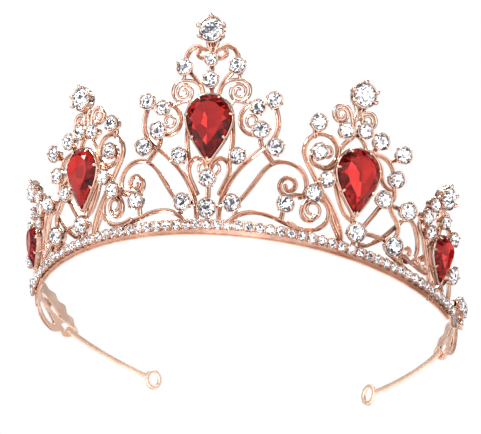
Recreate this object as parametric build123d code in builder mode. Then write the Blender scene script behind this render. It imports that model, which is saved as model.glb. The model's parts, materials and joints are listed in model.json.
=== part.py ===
"""Filigree tiara: a curved band with five leaning scrollwork panels, pear gems and clear stones.

Millimetres. The origin is the front centre of the band's bottom edge, the front faces -Y, +Z is up
and the band lies on the plane Z = 0.
"""

import os
from math import cos, degrees, radians, sin, tan

from build123d import *

# Plan of the band, from the front: arcs as (heading at the arc's end in degrees, radius)
PLAN = ((60.0, 76.0), (112.0, 55.0))
LEAF_START = 66.0
LEAF_END = 110.0

# Band section
BAND_HEIGHT = 3.6
BAND_THICKNESS = 1.2
BAND_LEAN = 28.0

# Lean of the scrollwork: a forward shear plus a small outward flare
FORWARD = 0.55
FLARE = 0.12

# Scrollwork
PLATE = 1.3
WIRE = 1.35
FINE_WIRE = 0.9
FOOT = 2.0

# Headings of the panel axes along the front arc, in degrees
INNER_HEADING = 30.2
OUTER_HEADING = 55.4
LINK_HEADING = 15.0
SIDE_LINK_HEADING = 43.0
LEAF_HEADING = 84.0

# Stones and their cups
BAND_STONE = 2.3
BAND_PITCH = 2.8
BAND_STONE_RISE = 2.1
BAND_STONES_PER_SIDE = 30
TOP_STONE = 6.6
TOP_CLAW = 1.5
TOP_CLAW_RISE = 2.2
TOP_CLAW_TURNS = (90, 18, -28, 162, 208)
BIG_GEM = (12.6, 17.8)
SMALL_GEM = (9.6, 13.8)
CUP_WALL = 0.3
CUP_FLOOR = 0.4
CLAW = 0.75
GEM_RIM = 1.07
GEM_FLOOR = 0.5
GEM_WALL = 1.5
GEM_PRONG = 2.3
GEM_PRONG_CORNERS = (1, 3, 5, 7, 9, 13)
GEM_LEVELS = ((0.5, 0.75), (1.5, 0.985), (1.8, 0.985), (3.6, 0.6))

# End wires
END_WIRE_TAIL = 101.0
END_WIRE_START = 106.0
END_WIRE_INSET = 1.2
END_WIRE_RADIUS = 130.0
END_WIRE_TURN = 20.0
END_WIRE_RISE = 4.4
END_WIRE_WIDTH = 2.1
END_WIRE_THICKNESS = 1.2
EYELET_HOLE = 5.6
EYELET_WIRE = 1.6


def foot(heading):
    """Point of the band's bottom edge where the band runs at this heading."""
    point = Vector(0, 0, 0)
    start = 0.0
    for end, radius in PLAN:
        here, there = radians(start), radians(min(heading, end))
        point += Vector(sin(there) - sin(here), cos(here) - cos(there), 0) * radius
        if heading <= end:
            break
        start = end
    return point


def heading_at(length):
    """Heading of the band at this length from the front centre."""
    start = 0.0
    for end, radius in PLAN:
        arc = radians(end - start) * radius
        if length <= arc:
            break
        length -= arc
        start = end
    return start + degrees(length / radius)


def upright(heading):
    """Direction in which the scrollwork stands at this heading."""
    h = radians(heading)
    return Vector(FLARE * sin(h), -FORWARD - FLARE * cos(h), 1).normalized()


def panel_plane(heading):
    """Plane of a panel: Y up the panel, Z outward."""
    h = radians(heading)
    tangent = Vector(cos(h), sin(h), 0)
    up = upright(heading)
    along = (tangent - up * tangent.dot(up)).normalized()
    return Plane(origin=foot(heading), x_dir=along, z_dir=along.cross(up))


def wall_plane(heading):
    """Plane of the band's own wall at this heading: X level along the band, Z outward."""
    h = radians(heading)
    tangent = Vector(cos(h), sin(h), 0)
    return Plane(origin=foot(heading), x_dir=tangent, z_dir=tangent.cross(upright(heading)))


def spiral(centre, start, turn, outer, inner):
    """Points of a spiral from its outer to its inner radius; a negative turn runs clockwise."""
    steps = max(4, round(abs(turn) / 40))
    points = []
    for step in range(steps + 1):
        part = step / steps
        angle = radians(start + turn * part)
        radius = outer + (inner - outer) * part
        points.append((centre[0] + radius * cos(angle), centre[1] + radius * sin(angle)))
    return points


def draw_wires(paths, width):
    """Draw each path of a sketch as a curved wire of this width."""
    for path in paths:
        with BuildLine() as line:
            Spline(*path)
        trace(line.line, line_width=width)


def draw_pads(stones):
    """Draw a round pad under each stone cup of a sketch."""
    for u, v, size in stones:
        with Locations((u, v)):
            Circle(size / 2 * 0.85)


def pear(size, scale):
    """Corner points of a pear outline, tip down, about the centre of its round end."""
    half = size[0] / 2
    tail = size[1] - half
    points = []
    for step in range(9):
        angle = radians(200 - step * 27.5)
        points.append((half * cos(angle), half * sin(angle)))
    points += [(half * 0.7, -tail * 0.48), (half * 0.32, -tail * 0.8), (0, -tail)]
    points += [(-half * 0.32, -tail * 0.8), (-half * 0.7, -tail * 0.48)]
    return [(x * scale, y * scale) for x, y in points]


# Each panel is drawn on its own plane: u along the band and away from the front, v up the panel.
# A stone is (u, v, diameter).

CENTRE_GEM_AT = (0, 31.7)
CENTRE_TOP_AT = (0, 55.8)
CENTRE_WIRES = [
    [(0.8, 50.4), (2.3, 51.2), (4.3, 51.8), (6.2, 50.9), (7.2, 49.0), (7.5, 46.2)],
    [(3.6, 51.2), (3.9, 49.4), (2.6, 48.6), (1.2, 48.6)],
    [(6.6, 45.2), (4.6, 43.2), (3.0, 41.0), (2.1, 38.2)],
    [(12.9, 36.2), (10.9, 35.6), (9.2, 34.1), (8.4, 31.9), (8.7, 29.7), (10.0, 28.0),
     (12.0, 27.3), (14.4, 28.0)],
    [(17.6, 36.0), (18.3, 33.6), (18.8, 31.2), (18.7, 28.8), (17.7, 26.4), (16.2, 24.6), (14.9, 23.4)],
    [(14.2, 27.6), (14.1, 25.4), (15.0, 23.2), (16.4, 21.2), (17.6, 19.6)],
    [(15.2, 24.0), (13.0, 22.2), (10.6, 20.1), (8.3, 17.8), (6.4, 15.2), (4.9, 12.4), (3.8, 9.6),
     (3.2, 6.4), (3.0, FOOT)],
    [(6.2, 31.0), (6.4, 27.0), (6.2, 23.5), (5.7, 20.4), (5.6, 18.2)],
    [(0, 16.2), (0.6, 18.4), (2.0, 20.4), (3.8, 20.8), (5.2, 19.7), (5.7, 17.8), (5.3, 15.8),
     (4.2, 13.4), (3.0, 11.0)],
    [(3.2, 8.2), (5.0, 8.8), (7.0, 8.6)],
    [(6.9, 8.6), (7.6, 6.6), (7.6, 4.6)],
]
CENTRE_FINE = [
    [(2.3, 38.4), (2.9, 40.4), (4.5, 42.0)] + spiral((7.8, 39.2), 110, -760, 3.5, 0.7),
    [(8.6, 36.2), (9.6, 35.9), (10.6, 35.4)],
    [(6.8, 36.8), (5.9, 35.8), (5.2, 34.6)],
    [(13.6, 29.2)] + spiral((11.6, 31.2), -60, -330, 1.8, 1.1),
    [(1.6, 19.9), (2.7, 19.0), (2.9, 17.6), (1.9, 16.4)],
    [(7.7, 43.8), (8.0, 42.4)],
]
CENTRE_AXIS_WIRES = [
    [(0, 53.0), (0, 50.0), (0, 46.0), (0, 41.0), (0, 36.0)],
    [(0, 21.0), (0, 15.3), (0, 10.0), (0, FOOT)],
]
CENTRE_PAIRS = [
    (7.4, 45.9, 4.2), (17.7, 36.3, 4.0), (13.3, 34.5, 3.8), (14.4, 28.3, 4.4),
    (18.3, 23.7, 4.4), (8.2, 21.3, 4.2), (6.9, 8.7, 4.4),
]
CENTRE_AXIS_STONES = [(0, 47.9, 3.4), (0, 42.2, 4.2), (0, 15.3, 4.4), (0, 7.2, 4.9)]

INNER_GEM_AT = (0, 24.0)
INNER_TOP_AT = (0, 45.2)
INNER_WIRES = [
    [(0.1, 42.8), (-0.9, 40.4), (-1.6, 38.0), (-1.5, 35.6), (-1.7, 33.8), (-3.6, 32.0),
     (-4.9, 30.2), (-5.6, 27.6)],
    [(-1.5, 34.6), (0.6, 33.8), (2.0, 32.2), (2.8, 30.4)],
    spiral((-10.4, 28.6), 225, -325, 5.4, 4.2),
    [(-10.6, 24.4), (-12.6, 25.2), (-13.4, 26.8), (-12.8, 28.2)],
    [(-4.3, 35.0), (-3.5, 33.5), (-2.8, 32.5)],
    [(-11.6, 25.0), (-8.8, 24.0), (-6.2, 25.4)],
    [(-12.5, 36.0), (-12.9, 34.0), (-12.6, 32.4)],
    [(-14.4, 25.2), (-12.3, 21.9), (-9.7, 17.9), (-7.6, 15.4), (-5.8, 12.7), (-4.3, 9.8),
     (-3.2, 6.6), (-2.8, FOOT)],
    [(-7.0, 12.7), (-5.7, 9.4), (-3.9, 5.9), (-3.2, FOOT)],
    [(-12.6, 16.9), (-11.0, 17.2), (-9.6, 17.6)],
    [(-8.4, 21.4), (-10.2, 20.6), (-11.5, 20.6)],
    [(-6.0, 25.2), (-6.0, 21.4), (-5.0, 17.6), (-3.8, 14.6), (-2.2, 12.0), (0, 10.4)],
    [(0, 12.4), (0.5, 9.5), (0.8, 6.0), (0.9, FOOT)],
    [(2.4, 8.0), (4.5, 10.7), (6.2, 12.8), (7.9, 15.0), (10.9, 16.6)],
    [(8.3, 17.4), (10.4, 16.4), (13.4, 15.4), (16.1, 14.7)],
    [(10.9, 16.4), (12.3, 18.4), (12.2, 20.4), (11.8, 23.0)],
    [(10.8, 16.2), (12.3, 13.4), (14.0, 10.8), (14.1, 8.2), (12.9, 6.0)],
    [(3.0, 30.4), (5.4, 29.9), (7.6, 29.3), (9.8, 28.1), (11.3, 26.1), (11.8, 23.8)],
    [(5.9, 28.6), (7.4, 26.6), (7.9, 24.2), (8.6, 21.9), (10.2, 20.6), (12.2, 20.2)],
    [(10.4, 28.2), (12.0, 28.8), (13.5, 29.8)],
    [(6.2, 33.3), (5.6, 31.4), (4.8, 29.6)],
    [(-13.4, 15.6), (-14.8, 13.4), (-14.9, 11.2), (-13.6, 9.7), (-11.8, 9.9), (-10.8, 11.2)],
    [(-18.6, 8.6), (-15.4, 7.4), (-12.4, 7.2), (-9.6, 7.9), (-7.6, 9.8), (-7.1, 12.2),
     (-8.0, 14.4), (-10.0, 15.8),
     (-12.8, 16.6)],
    [(2.6, 7.6), (6.0, 7.2), (9.3, 6.3), (10.8, 5.2), (12.3, 4.2)],
]
INNER_FINE = [
    [(-1.6, 35.8), (-2.2, 38.6)] + spiral((-5.4, 39.6), 15, 700, 2.9, 0.7),
    [(-1.1, 38.2), (-0.2, 40.2)] + spiral((2.7, 38.6), 120, -660, 2.8, 0.7),
    [(-11.6, 28.4)] + spiral((-9.0, 28.6), 120, -300, 1.9, 1.0),
    spiral((-12.0, 12.6), 200, 420, 2.9, 1.2),
]
INNER_STONES = [
    (-4.3, 35.0, 4.1), (1.3, 35.5, 4.1), (6.3, 33.2, 4.4), (13.6, 30.2, 4.4), (11.9, 23.2, 4.4),
    (8.4, 17.3, 4.4),
    (16.1, 14.7, 4.8), (-12.5, 36.2, 4.2), (-11.7, 28.4, 4.2), (-8.9, 21.2, 4.0),
    (-12.6, 17.0, 4.4), (0.7, 7.6, 5.0),
    (12.3, 4.6, 5.2),
]

OUTER_GEM_AT = (0, 15.2)
OUTER_TOP_AT = (0, 31.4)
OUTER_WIRES = [
    [(0, 28.6), (0.2, 26.4), (0.8, 24.2), (0.4, 21.8), (0, 19.0)],
    [(0.2, 27.6), (-2.6, 27.6), (-5.4, 28.4), (-7.4, 26.8), (-8.6, 24.6)],
    [(-8.6, 24.8), (-10.0, 22.4), (-9.4, 21.0), (-7.6, 18.8), (-6.3, 15.6), (-4.8, 12.0),
     (-3.4, 8.6), (-2.4, 5.0),
     (-2.0, 1.0)],
    [(-8.4, 24.4), (-6.6, 22.2), (-5.4, 19.8), (-4.6, 17.2)],
    [(0.4, 21.9), (-2.0, 21.7), (-5.4, 20.0)],
    [(0.6, 24.4), (3.2, 23.6), (5.4, 21.8), (6.4, 19.2), (6.0, 16.2), (5.4, 13.2), (6.4, 11.0),
     (7.0, 8.8)],
    [(7.0, 8.8), (5.4, 6.6), (3.2, 5.0), (1.0, 3.6), (0, 0.4)],
    [(0, 6.4), (0, 4.0), (0, 0.4)],
    [(-16.2, 12.8), (-13.2, 11.4), (-10.0, 10.2), (-6.8, 9.0), (-4.4, 8.6), (-3.2, 10.2),
     (-4.2, 12.2), (-6.6, 13.2),
     (-8.8, 12.6), (-9.2, 11.4)],
    [(3.4, 5.4), (4.6, 3.8), (4.0, 1.8), (2.2, 1.6)],
    [(7.0, 8.6), (8.4, 5.0), (8.4, 1.4), (7.4, -2.0)],
]
OUTER_FINE = [
    spiral((-6.4, 10.8), -60, 420, 2.0, 0.8),
    [(0, 28.4), (2.2, 27.4)] + spiral((2.9, 25.2), 70, -220, 2.0, 1.0),
]
OUTER_STONES = [
    (-5.4, 28.7, 4.0), (-8.5, 24.8, 4.2), (0.9, 24.2, 4.0), (-6.2, 20.4, 4.0), (6.2, 19.6, 4.0),
    (7.0, 8.8, 5.0),
]

LINK_WIRES = [
    [(-12.4, 9.6), (-11.0, 11.0), (-9.0, 13.6), (-7.0, 16.6), (-4.8, 19.6), (-2.4, 21.3),
     (0.4, 21.7), (3.2, 20.9),
     (5.2, 19.2), (6.3, 16.9), (6.4, 14.4), (5.2, 12.6)],
    [(5.6, 13.0)] + spiral((1.7, 15.3), -50, -500, 3.1, 0.9),
    [(-14.6, 4.0), (-12.6, 6.0), (-10.4, 7.1), (-7.8, 7.6), (-5.2, 7.4), (-2.4, 6.7), (0.2, 5.6),
     (2.8, 4.6), (5.4, 4.0),
     (8.2, 3.8)],
    [(0.7, 10.4), (0.4, 8.2), (0, 6.0)],
    [(4.6, 12.2), (6.6, 13.0), (8.2, 15.0)],
]
LINK_STONES = [(0.8, 10.4, 4.4)]

SIDE_LINK_WIRES = [
    [(-14.6, 8.8), (-12.6, 8.8), (-10.4, 9.6), (-7.7, 10.9), (-5.1, 12.8), (-2.5, 15.0),
     (0, 17.0), (2.6, 17.4),
     (4.4, 16.0), (5.7, 13.4), (6.4, 10.6), (6.2, 7.8), (4.8, 5.9)],
    [(5.4, 6.6)] + spiral((2.4, 7.8), -50, -330, 2.6, 1.0),
    [(0.6, 7.4), (0.2, 5.6), (1.6, 3.2)],
    [(-4.6, 7.4), (-2.0, 6.0), (1.0, 4.2), (4.0, 2.2), (7.2, 0.2)],
]

# The leaf is drawn on the band's wall: level along the band and square up from it.
LEAF_OUTLINE = [
    (-19.0, 3.4), (-15.0, 0.9), (-11.6, 0.2), (-8.4, 1.6), (-4.0, 0.3), (3.0, 0.0), (10.0, 0.5),
    (14.4, 2.4), (18.0, 2.0),
    (21.6, 3.8), (23.6, 6.4), (20.6, 8.2), (18.6, 10.4), (14.8, 10.6), (12.0, 12.8), (7.4, 12.4),
    (4.0, 13.8), (-1.0, 12.8),
    (-6.0, 13.0), (-11.0, 11.0), (-15.0, 8.2), (-19.0, 5.6),
]
LEAF_OPENINGS = [
    [(-9.6, 3.2), (-4.0, 2.1), (3.0, 1.8), (9.0, 2.8), (4.4, 4.6), (-3.0, 5.0)],
    [(-8.0, 7.6), (-1.0, 6.7), (6.0, 6.6), (11.6, 7.2), (5.0, 8.9), (-2.0, 9.2)],
    [(13.0, 5.0), (16.6, 4.4), (19.4, 5.6), (16.0, 7.0)],
]
LEAF_DEPTH = 15.0
# Stones of the leaf: heading, height up the wall, diameter
LEAF_STONES = [(69.8, 7.4, 4.2), (78.6, 9.6, 4.2), (88.0, 9.8, 4.2)]


# ---------------------------------------------------------------- base band

def band_section():
    """Leaning section of the band in plan radius and height, before it is shifted to an arc."""
    rise = BAND_HEIGHT
    lean = BAND_HEIGHT * tan(radians(BAND_LEAN))
    half = BAND_THICKNESS / 2
    return [(-half, 0), (half, 0), (half + lean, rise), (-half + lean, rise)]


with BuildPart() as base_band:
    arc_start = 0.0
    for arc_end, arc_radius in PLAN:
        arc_end = min(arc_end, LEAF_START)
        turn = radians(arc_start)
        outward = Vector(sin(turn), -cos(turn), 0)
        centre = foot(arc_start) - outward * arc_radius
        if arc_end > arc_start:
            with BuildSketch(Plane(origin=centre, x_dir=outward, z_dir=outward.cross(Vector(0, 0, 1)))):
                Polygon(*[(arc_radius + x, z) for x, z in band_section()], align=None)
            revolve(axis=Axis(centre, (0, 0, 1)), revolution_arc=arc_end - arc_start)
        arc_start = arc_end
    mirror(about=Plane.YZ)


def band_stone_places():
    """Places of the band's stones, on its leaning outer face."""
    places = []
    slant = radians(BAND_LEAN)
    reach = BAND_THICKNESS / 2 + BAND_STONE_RISE * tan(slant)
    for number in range(-BAND_STONES_PER_SIDE, BAND_STONES_PER_SIDE + 1):
        side = -1 if number < 0 else 1
        heading = heading_at(abs(number) * BAND_PITCH)
        h = radians(heading)
        spot = foot(heading) + Vector(sin(h), -cos(h), 0) * reach
        origin = (spot.X * side, spot.Y, BAND_STONE_RISE)
        normal = Vector(side * sin(h) * cos(slant), -cos(h) * cos(slant), -sin(slant))
        places.append(Plane(origin=origin, x_dir=(cos(h), side * sin(h), 0), z_dir=normal).location)
    return places


UPWARD = (Align.CENTER, Align.CENTER, Align.MIN)


def make_crystal(size):
    """A round brilliant-cut stone standing on the floor of its cup."""
    girdle = size / 2
    with BuildPart() as crystal:
        with BuildSketch(Plane.XZ):
            with BuildLine():
                Polyline((0, CUP_FLOOR), (girdle * 0.35, CUP_FLOOR), (girdle, CUP_FLOOR + size * 0.2),
                         (girdle, CUP_FLOOR + size * 0.25), (girdle * 0.58, CUP_FLOOR + size * 0.4),
                         (0, CUP_FLOOR + size * 0.4), close=True)
            make_face()
        revolve(axis=Axis.Z)
    return crystal.part


def make_cup(size):
    """A round claw cup: floor, wall and four claws that reach up beside the stone."""
    bore = size / 2
    wall_top = CUP_FLOOR + size * 0.2
    with BuildPart() as cup:
        Cylinder(bore + CUP_WALL, wall_top, align=UPWARD)
        with PolarLocations(bore + CUP_WALL / 2, 4, start_angle=45):
            Cylinder(CLAW / 2 * (0.6 + size / 10), wall_top + size * 0.12, align=UPWARD)
        with Locations((0, 0, CUP_FLOOR)):
            Cylinder(bore, size, align=UPWARD, mode=Mode.SUBTRACT)
    return cup.part


SIZES = {BAND_STONE, TOP_STONE}
for group in (CENTRE_PAIRS, CENTRE_AXIS_STONES, INNER_STONES, OUTER_STONES, LINK_STONES, LEAF_STONES):
    SIZES |= {stone[2] for stone in group}
CRYSTAL = {size: make_crystal(size) for size in SIZES}
CUP = {size: make_cup(size) for size in SIZES - {TOP_STONE}}

pieces = {"base_band": base_band}

with BuildPart() as band_cups:
    with Locations(*band_stone_places()):
        add(CUP[BAND_STONE])
pieces["band_cups"] = band_cups

with BuildPart() as band_crystals:
    with Locations(*band_stone_places()):
        add(CRYSTAL[BAND_STONE])
pieces["band_crystals"] = band_crystals


# ---------------------------------------------------------------- scrollwork panels

def make_scrollwork(plane, thick, fine, stones, gem_at=None, gem_size=None, top_at=None,
                    both_halves=False, axis=(), clear_of=()):
    """Pierced scrollwork plate: wires, pads under the cups and a rim behind the gem."""
    with BuildPart() as scrollwork:
        with BuildSketch(plane):
            draw_wires(thick, WIRE)
            draw_wires(fine, FINE_WIRE)
            draw_pads(stones)
            if both_halves:
                mirror(about=Plane.YZ)
            draw_wires(axis, WIRE)
            if top_at:
                with Locations(top_at):
                    Circle(TOP_STONE / 2)
                    Rectangle(WIRE * 2, TOP_STONE, align=(Align.CENTER, Align.MAX))
            if gem_at:
                with Locations(gem_at):
                    Polygon(*pear(gem_size, 1.0), align=None)
                    Polygon(*pear(gem_size, 0.7), align=None, mode=Mode.SUBTRACT)
        extrude(amount=PLATE / 2, both=True)
        split(bisect_by=Plane.XY.offset(BAND_HEIGHT), keep=Keep.TOP)
        for other in clear_of:
            add(other.part, mode=Mode.SUBTRACT)
    return scrollwork


def make_stones(plane, stones, shapes):
    """One copy of the matching shape on each stone place of a panel."""
    with BuildPart() as group:
        for u, v, size in stones:
            with Locations(plane * Location((u, v, PLATE / 2))):
                add(shapes[size])
    return group


def make_gem_setting(plane, at, size):
    """Open-backed pear rim with small prongs that hold the gem."""
    seat = plane.offset(PLATE / 2)
    corners = pear(size, GEM_RIM)
    prongs = [(at[0] + corners[i][0], at[1] + corners[i][1]) for i in GEM_PRONG_CORNERS]
    with BuildPart() as setting:
        with BuildSketch(seat):
            with Locations(at):
                Polygon(*corners, align=None)
                Polygon(*pear(size, 0.7), align=None, mode=Mode.SUBTRACT)
        extrude(amount=GEM_FLOOR)
        with BuildSketch(seat):
            with Locations(at):
                Polygon(*corners, align=None)
                Polygon(*pear(size, 1.0), align=None, mode=Mode.SUBTRACT)
        extrude(amount=GEM_WALL)
        with BuildSketch(seat):
            with Locations(*prongs):
                Circle(CLAW / 2)
            with Locations(at):
                Polygon(*pear(size, 1.0), align=None, mode=Mode.SUBTRACT)
        extrude(amount=GEM_PRONG)
    return setting


def make_gem(plane, at, size):
    """Pear gem cut in flat facets: pavilion, girdle, sloping crown and table."""
    with BuildPart() as gem:
        for height, scale in GEM_LEVELS:
            with BuildSketch(plane.offset(PLATE / 2 + height)):
                with Locations(at):
                    Polygon(*pear(size, scale), align=None)
        loft(ruled=True)
    return gem


def make_top_setting(plane, at):
    """Cup of the top stone, with five stout claws that stand from its foot."""
    reach = TOP_STONE / 2 + CUP_WALL
    with BuildPart() as setting:
        with Locations(plane * Location((at[0], at[1], PLATE / 2))):
            Cylinder(reach, CUP_FLOOR + TOP_STONE * 0.2, align=UPWARD)
            for turn in TOP_CLAW_TURNS:
                with Locations((reach * cos(radians(turn)), reach * sin(radians(turn)), 0)):
                    Cylinder(TOP_CLAW / 2, TOP_CLAW_RISE + TOP_CLAW / 2, align=UPWARD)
            with Locations((0, 0, CUP_FLOOR)):
                Cylinder(TOP_STONE / 2, TOP_STONE, align=UPWARD, mode=Mode.SUBTRACT)
    return setting


centre_plane = panel_plane(0)
inner_plane = panel_plane(INNER_HEADING)
outer_plane = panel_plane(OUTER_HEADING)
link_plane = panel_plane(LINK_HEADING)
side_link_plane = panel_plane(SIDE_LINK_HEADING)

left_half = [(-u, v, size) for u, v, size in CENTRE_PAIRS]
centre_stones = CENTRE_PAIRS + left_half + CENTRE_AXIS_STONES

pieces["centre_filigree"] = make_scrollwork(
    centre_plane, CENTRE_WIRES, CENTRE_FINE, CENTRE_PAIRS, CENTRE_GEM_AT, BIG_GEM, CENTRE_TOP_AT,
    both_halves=True, axis=CENTRE_AXIS_WIRES)
pieces["centre_cups"] = make_stones(centre_plane, centre_stones, CUP)
pieces["centre_crystals"] = make_stones(centre_plane, centre_stones, CRYSTAL)
pieces["centre_gem_setting"] = make_gem_setting(centre_plane, CENTRE_GEM_AT, BIG_GEM)
pieces["centre_gem"] = make_gem(centre_plane, CENTRE_GEM_AT, BIG_GEM)
pieces["centre_top_setting"] = make_top_setting(centre_plane, CENTRE_TOP_AT)
pieces["centre_top_crystal"] = make_stones(centre_plane, [CENTRE_TOP_AT + (TOP_STONE,)], CRYSTAL)

# Pieces of the right half; each has a mirrored twin on the left
right = {}
right["inner_filigree"] = make_scrollwork(
    inner_plane, INNER_WIRES, INNER_FINE, INNER_STONES, INNER_GEM_AT, BIG_GEM, INNER_TOP_AT)
right["inner_cups"] = make_stones(inner_plane, INNER_STONES, CUP)
right["inner_crystals"] = make_stones(inner_plane, INNER_STONES, CRYSTAL)
right["inner_gem_setting"] = make_gem_setting(inner_plane, INNER_GEM_AT, BIG_GEM)
right["inner_gem"] = make_gem(inner_plane, INNER_GEM_AT, BIG_GEM)
right["inner_top_setting"] = make_top_setting(inner_plane, INNER_TOP_AT)
right["inner_top_crystal"] = make_stones(inner_plane, [INNER_TOP_AT + (TOP_STONE,)], CRYSTAL)

right["outer_filigree"] = make_scrollwork(
    outer_plane, OUTER_WIRES, OUTER_FINE, OUTER_STONES, OUTER_GEM_AT, SMALL_GEM, OUTER_TOP_AT)
right["outer_cups"] = make_stones(outer_plane, OUTER_STONES, CUP)
right["outer_crystals"] = make_stones(outer_plane, OUTER_STONES, CRYSTAL)
right["outer_gem_setting"] = make_gem_setting(outer_plane, OUTER_GEM_AT, SMALL_GEM)
right["outer_gem"] = make_gem(outer_plane, OUTER_GEM_AT, SMALL_GEM)
right["outer_top_setting"] = make_top_setting(outer_plane, OUTER_TOP_AT)
right["outer_top_crystal"] = make_stones(outer_plane, [OUTER_TOP_AT + (TOP_STONE,)], CRYSTAL)

right["link_scroll"] = make_scrollwork(
    link_plane, LINK_WIRES, [], LINK_STONES,
    clear_of=(pieces["centre_filigree"], pieces["centre_cups"],
              right["inner_filigree"], right["inner_cups"]))
right["link_cup"] = make_stones(link_plane, LINK_STONES, CUP)
right["link_crystal"] = make_stones(link_plane, LINK_STONES, CRYSTAL)
right["side_link_scroll"] = make_scrollwork(
    side_link_plane, SIDE_LINK_WIRES, [], [],
    clear_of=(right["inner_filigree"], right["inner_cups"], right["outer_filigree"], right["outer_cups"]))


# ---------------------------------------------------------------- leaf ends

def wall_strip(inward, outward):
    """Plan strip along the leaf, between two offsets from the band's middle line."""
    start = LEAF_START
    with BuildSketch() as strip:
        for end, radius in PLAN[1:]:
            end = min(end, LEAF_END)
            turn = radians(start)
            centre = foot(start) - Vector(sin(turn), -cos(turn), 0) * radius
            with BuildLine():
                outer_arc = CenterArc((centre.X, centre.Y), radius + outward, start - 90, end - start)
                inner_arc = CenterArc((centre.X, centre.Y), radius - inward, start - 90, end - start)
                Line(outer_arc @ 0, inner_arc @ 0)
                Line(outer_arc @ 1, inner_arc @ 1)
            make_face()
            start = end
    return strip.sketch


with BuildPart() as leaf:
    with BuildSketch():
        add(wall_strip(BAND_THICKNESS / 2, BAND_THICKNESS / 2))
    extrude(amount=LEAF_DEPTH, dir=upright(LEAF_HEADING))
    band_end = radians(LEAF_START)
    end_plane = Plane(origin=foot(LEAF_START), z_dir=(cos(band_end), sin(band_end), 0))
    with Locations(end_plane.location):
        Box(4 * LEAF_DEPTH, 4 * LEAF_DEPTH, LEAF_DEPTH, align=(Align.CENTER, Align.CENTER, Align.MAX),
            mode=Mode.SUBTRACT)
    with BuildSketch(wall_plane(LEAF_HEADING)):
        with BuildLine():
            Spline(*LEAF_OUTLINE, periodic=True)
        make_face()
        for opening in LEAF_OPENINGS:
            with BuildLine():
                Spline(*opening, periodic=True)
            make_face(mode=Mode.SUBTRACT)
    extrude(amount=LEAF_DEPTH, both=True, mode=Mode.INTERSECT)
right["leaf_end"] = leaf


def make_leaf_stones(shapes):
    """One copy of the matching shape on each stone place of the leaf's outer face."""
    with BuildPart() as group:
        for heading, height, size in LEAF_STONES:
            with Locations(wall_plane(heading) * Location((0, height, BAND_THICKNESS / 2))):
                add(shapes[size])
    return group


right["leaf_cups"] = make_leaf_stones(CUP)
right["leaf_crystals"] = make_leaf_stones(CRYSTAL)


# ---------------------------------------------------------------- end wires

def wire_spot(heading, inset):
    """Point of the end wire's middle line, this far inside the leaf's foot."""
    h = radians(heading)
    return foot(heading) - Vector(sin(h), -cos(h), 0) * inset


with BuildPart() as end_wire:
    tail = wire_spot(END_WIRE_TAIL, END_WIRE_INSET)
    centre = wire_spot(END_WIRE_START, END_WIRE_INSET + END_WIRE_RADIUS)
    with BuildSketch(Plane.XY.offset(END_WIRE_RISE - END_WIRE_WIDTH / 2)):
        with BuildLine() as wire_line:
            bend = CenterArc((centre.X, centre.Y), END_WIRE_RADIUS, END_WIRE_START - 90, END_WIRE_TURN)
            Line((tail.X, tail.Y), bend @ 0)
        trace(wire_line.line, line_width=END_WIRE_THICKNESS)
    extrude(amount=END_WIRE_WIDTH)
    add(leaf.part, mode=Mode.SUBTRACT)
    tangent = bend % 1
    eyelet_outer = EYELET_HOLE / 2 + EYELET_WIRE
    eyelet_at = (bend @ 1) + tangent * (eyelet_outer - EYELET_WIRE / 4)
    eyelet_plane = Plane(
        origin=(eyelet_at.X, eyelet_at.Y, END_WIRE_RISE),
        x_dir=tangent, z_dir=tangent.cross(Vector(0, 0, 1)))
    with BuildSketch(eyelet_plane):
        Circle(eyelet_outer)
    extrude(amount=EYELET_WIRE / 2, both=True)
    with BuildSketch(eyelet_plane):
        Circle(EYELET_HOLE / 2)
    extrude(amount=EYELET_WIRE, both=True, mode=Mode.SUBTRACT)
right["end_wire"] = end_wire


# ---------------------------------------------------------------- twins and files

for name, piece in right.items():
    pieces["right_" + name] = piece
    with BuildPart() as twin:
        mirror(piece.part, about=Plane.YZ)
    pieces["left_" + name] = twin

os.makedirs("parts", exist_ok=True)
for name, piece in pieces.items():
    piece.part.label = name
    export_step(piece.part, f"parts/{name}.step")
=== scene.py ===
import json
import random
from math import atan2, ceil, cos, degrees, pi, radians, sin, sqrt, tan

import bmesh
import bpy
from mathutils import Matrix, Vector


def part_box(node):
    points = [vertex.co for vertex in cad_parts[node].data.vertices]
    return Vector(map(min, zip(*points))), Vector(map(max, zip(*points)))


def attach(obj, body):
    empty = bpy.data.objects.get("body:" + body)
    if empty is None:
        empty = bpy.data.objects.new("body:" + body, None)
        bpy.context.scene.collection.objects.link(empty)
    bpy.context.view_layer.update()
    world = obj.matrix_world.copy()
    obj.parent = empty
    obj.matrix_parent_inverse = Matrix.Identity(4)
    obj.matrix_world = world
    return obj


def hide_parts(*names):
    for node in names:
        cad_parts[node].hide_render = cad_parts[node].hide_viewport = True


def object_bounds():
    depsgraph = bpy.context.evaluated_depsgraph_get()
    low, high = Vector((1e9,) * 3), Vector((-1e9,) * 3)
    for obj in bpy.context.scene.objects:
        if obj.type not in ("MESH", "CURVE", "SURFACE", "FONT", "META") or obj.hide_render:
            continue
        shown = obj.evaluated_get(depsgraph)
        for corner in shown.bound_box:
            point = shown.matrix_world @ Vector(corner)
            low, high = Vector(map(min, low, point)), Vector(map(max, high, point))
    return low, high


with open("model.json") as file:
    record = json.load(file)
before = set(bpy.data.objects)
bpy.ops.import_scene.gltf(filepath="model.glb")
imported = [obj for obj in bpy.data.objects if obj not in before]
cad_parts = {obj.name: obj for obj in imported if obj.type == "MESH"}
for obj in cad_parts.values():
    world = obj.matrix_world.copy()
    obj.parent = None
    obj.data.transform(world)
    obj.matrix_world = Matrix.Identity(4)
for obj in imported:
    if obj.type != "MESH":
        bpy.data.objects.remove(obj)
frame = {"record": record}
CAD_LOW, CAD_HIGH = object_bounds()

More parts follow.
